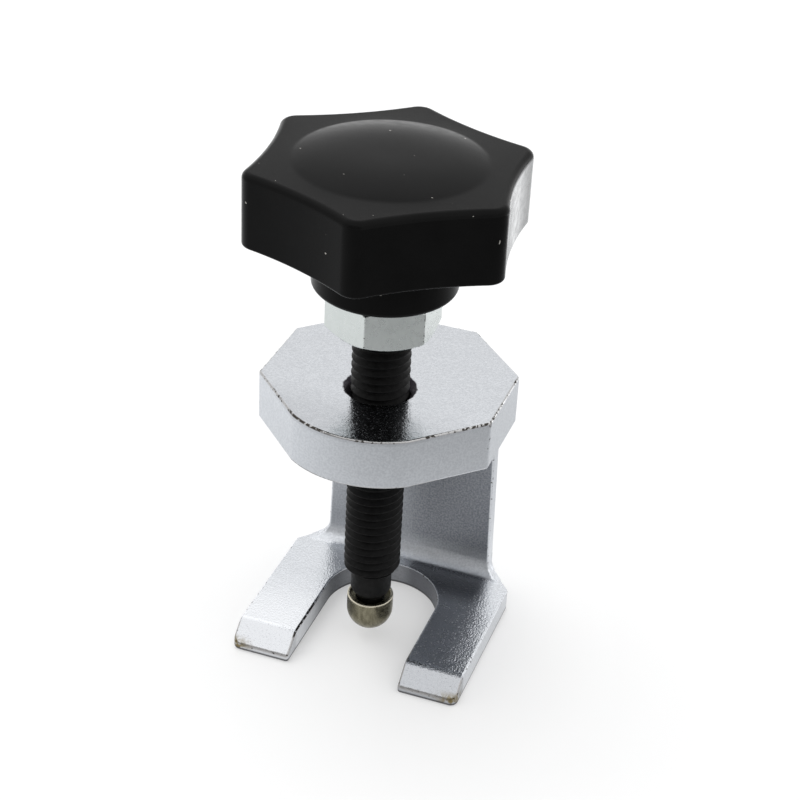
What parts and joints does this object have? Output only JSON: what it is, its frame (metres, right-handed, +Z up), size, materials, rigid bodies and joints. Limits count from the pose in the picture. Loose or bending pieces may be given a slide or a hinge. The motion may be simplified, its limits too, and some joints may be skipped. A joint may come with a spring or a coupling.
{
  "type": "screw fork puller",
  "caption": "Forged C-frame puller with a forked foot, a threaded spindle, a black star knob with a hex lock nut, and a swivelling round tip.",
  "frame": {"origin": "on the surface that the fork stands on, under the middle of the object's bounding box; the spindle axis is at x = 0 and 0.63 mm towards -Y", "axes": "+Z up along the spindle towards the knob, -Y the open side of the fork and of the C-frame, +X to the right when looking into the open side"},
  "size_m": [0.0438, 0.0482, 0.0943],
  "materials": {
    "frame_chrome": "satin, fine orange peel",
    "spindle_black": "black oxide, semi-gloss",
    "nut_zinc": "zinc plated, satin",
    "knob_plastic": "semi-matt moulded",
    "insert_brass": "turned",
    "tip_nickel": "warm grey nickel, satin",
    "ball_steel": "polished",
    "ring_steel": "spring wire"
  },
  "bodies": {
    "frame": {"frame": "frame_chrome"},
    "thrust_ball": {"thrust_ball": "ball_steel"},
    "spindle": {"spindle": "spindle_black", "jam_nut": "nut_zinc", "knob_body": "knob_plastic", "knob_insert": "insert_brass"},
    "tip_cap": {"tip_cap": "tip_nickel", "snap_ring": "ring_steel"}
  },
  "joints": [
    {"name": "spindle_travel", "type": "slide", "parent": "frame", "child": "thrust_ball", "axis": [0, 0, 1], "range_m": [-0.01125, 0.027]},
    {"name": "spindle_turn", "type": "hinge", "parent": "thrust_ball", "child": "spindle", "pos_m": [0, -0.00063, 0.06], "axis": [0, 0, 1], "range_deg": [-2700, 6480]},
    {"name": "tip_swivel", "type": "hinge", "parent": "thrust_ball", "child": "tip_cap", "pos_m": [0, -0.00063, 0.005], "axis": [0, 0, 1], "continuous": true}
  ],
  "couplings": [
    {"joint": "spindle_travel", "follows": "spindle_turn", "m_per_rad": 0.00023873}
  ]
}
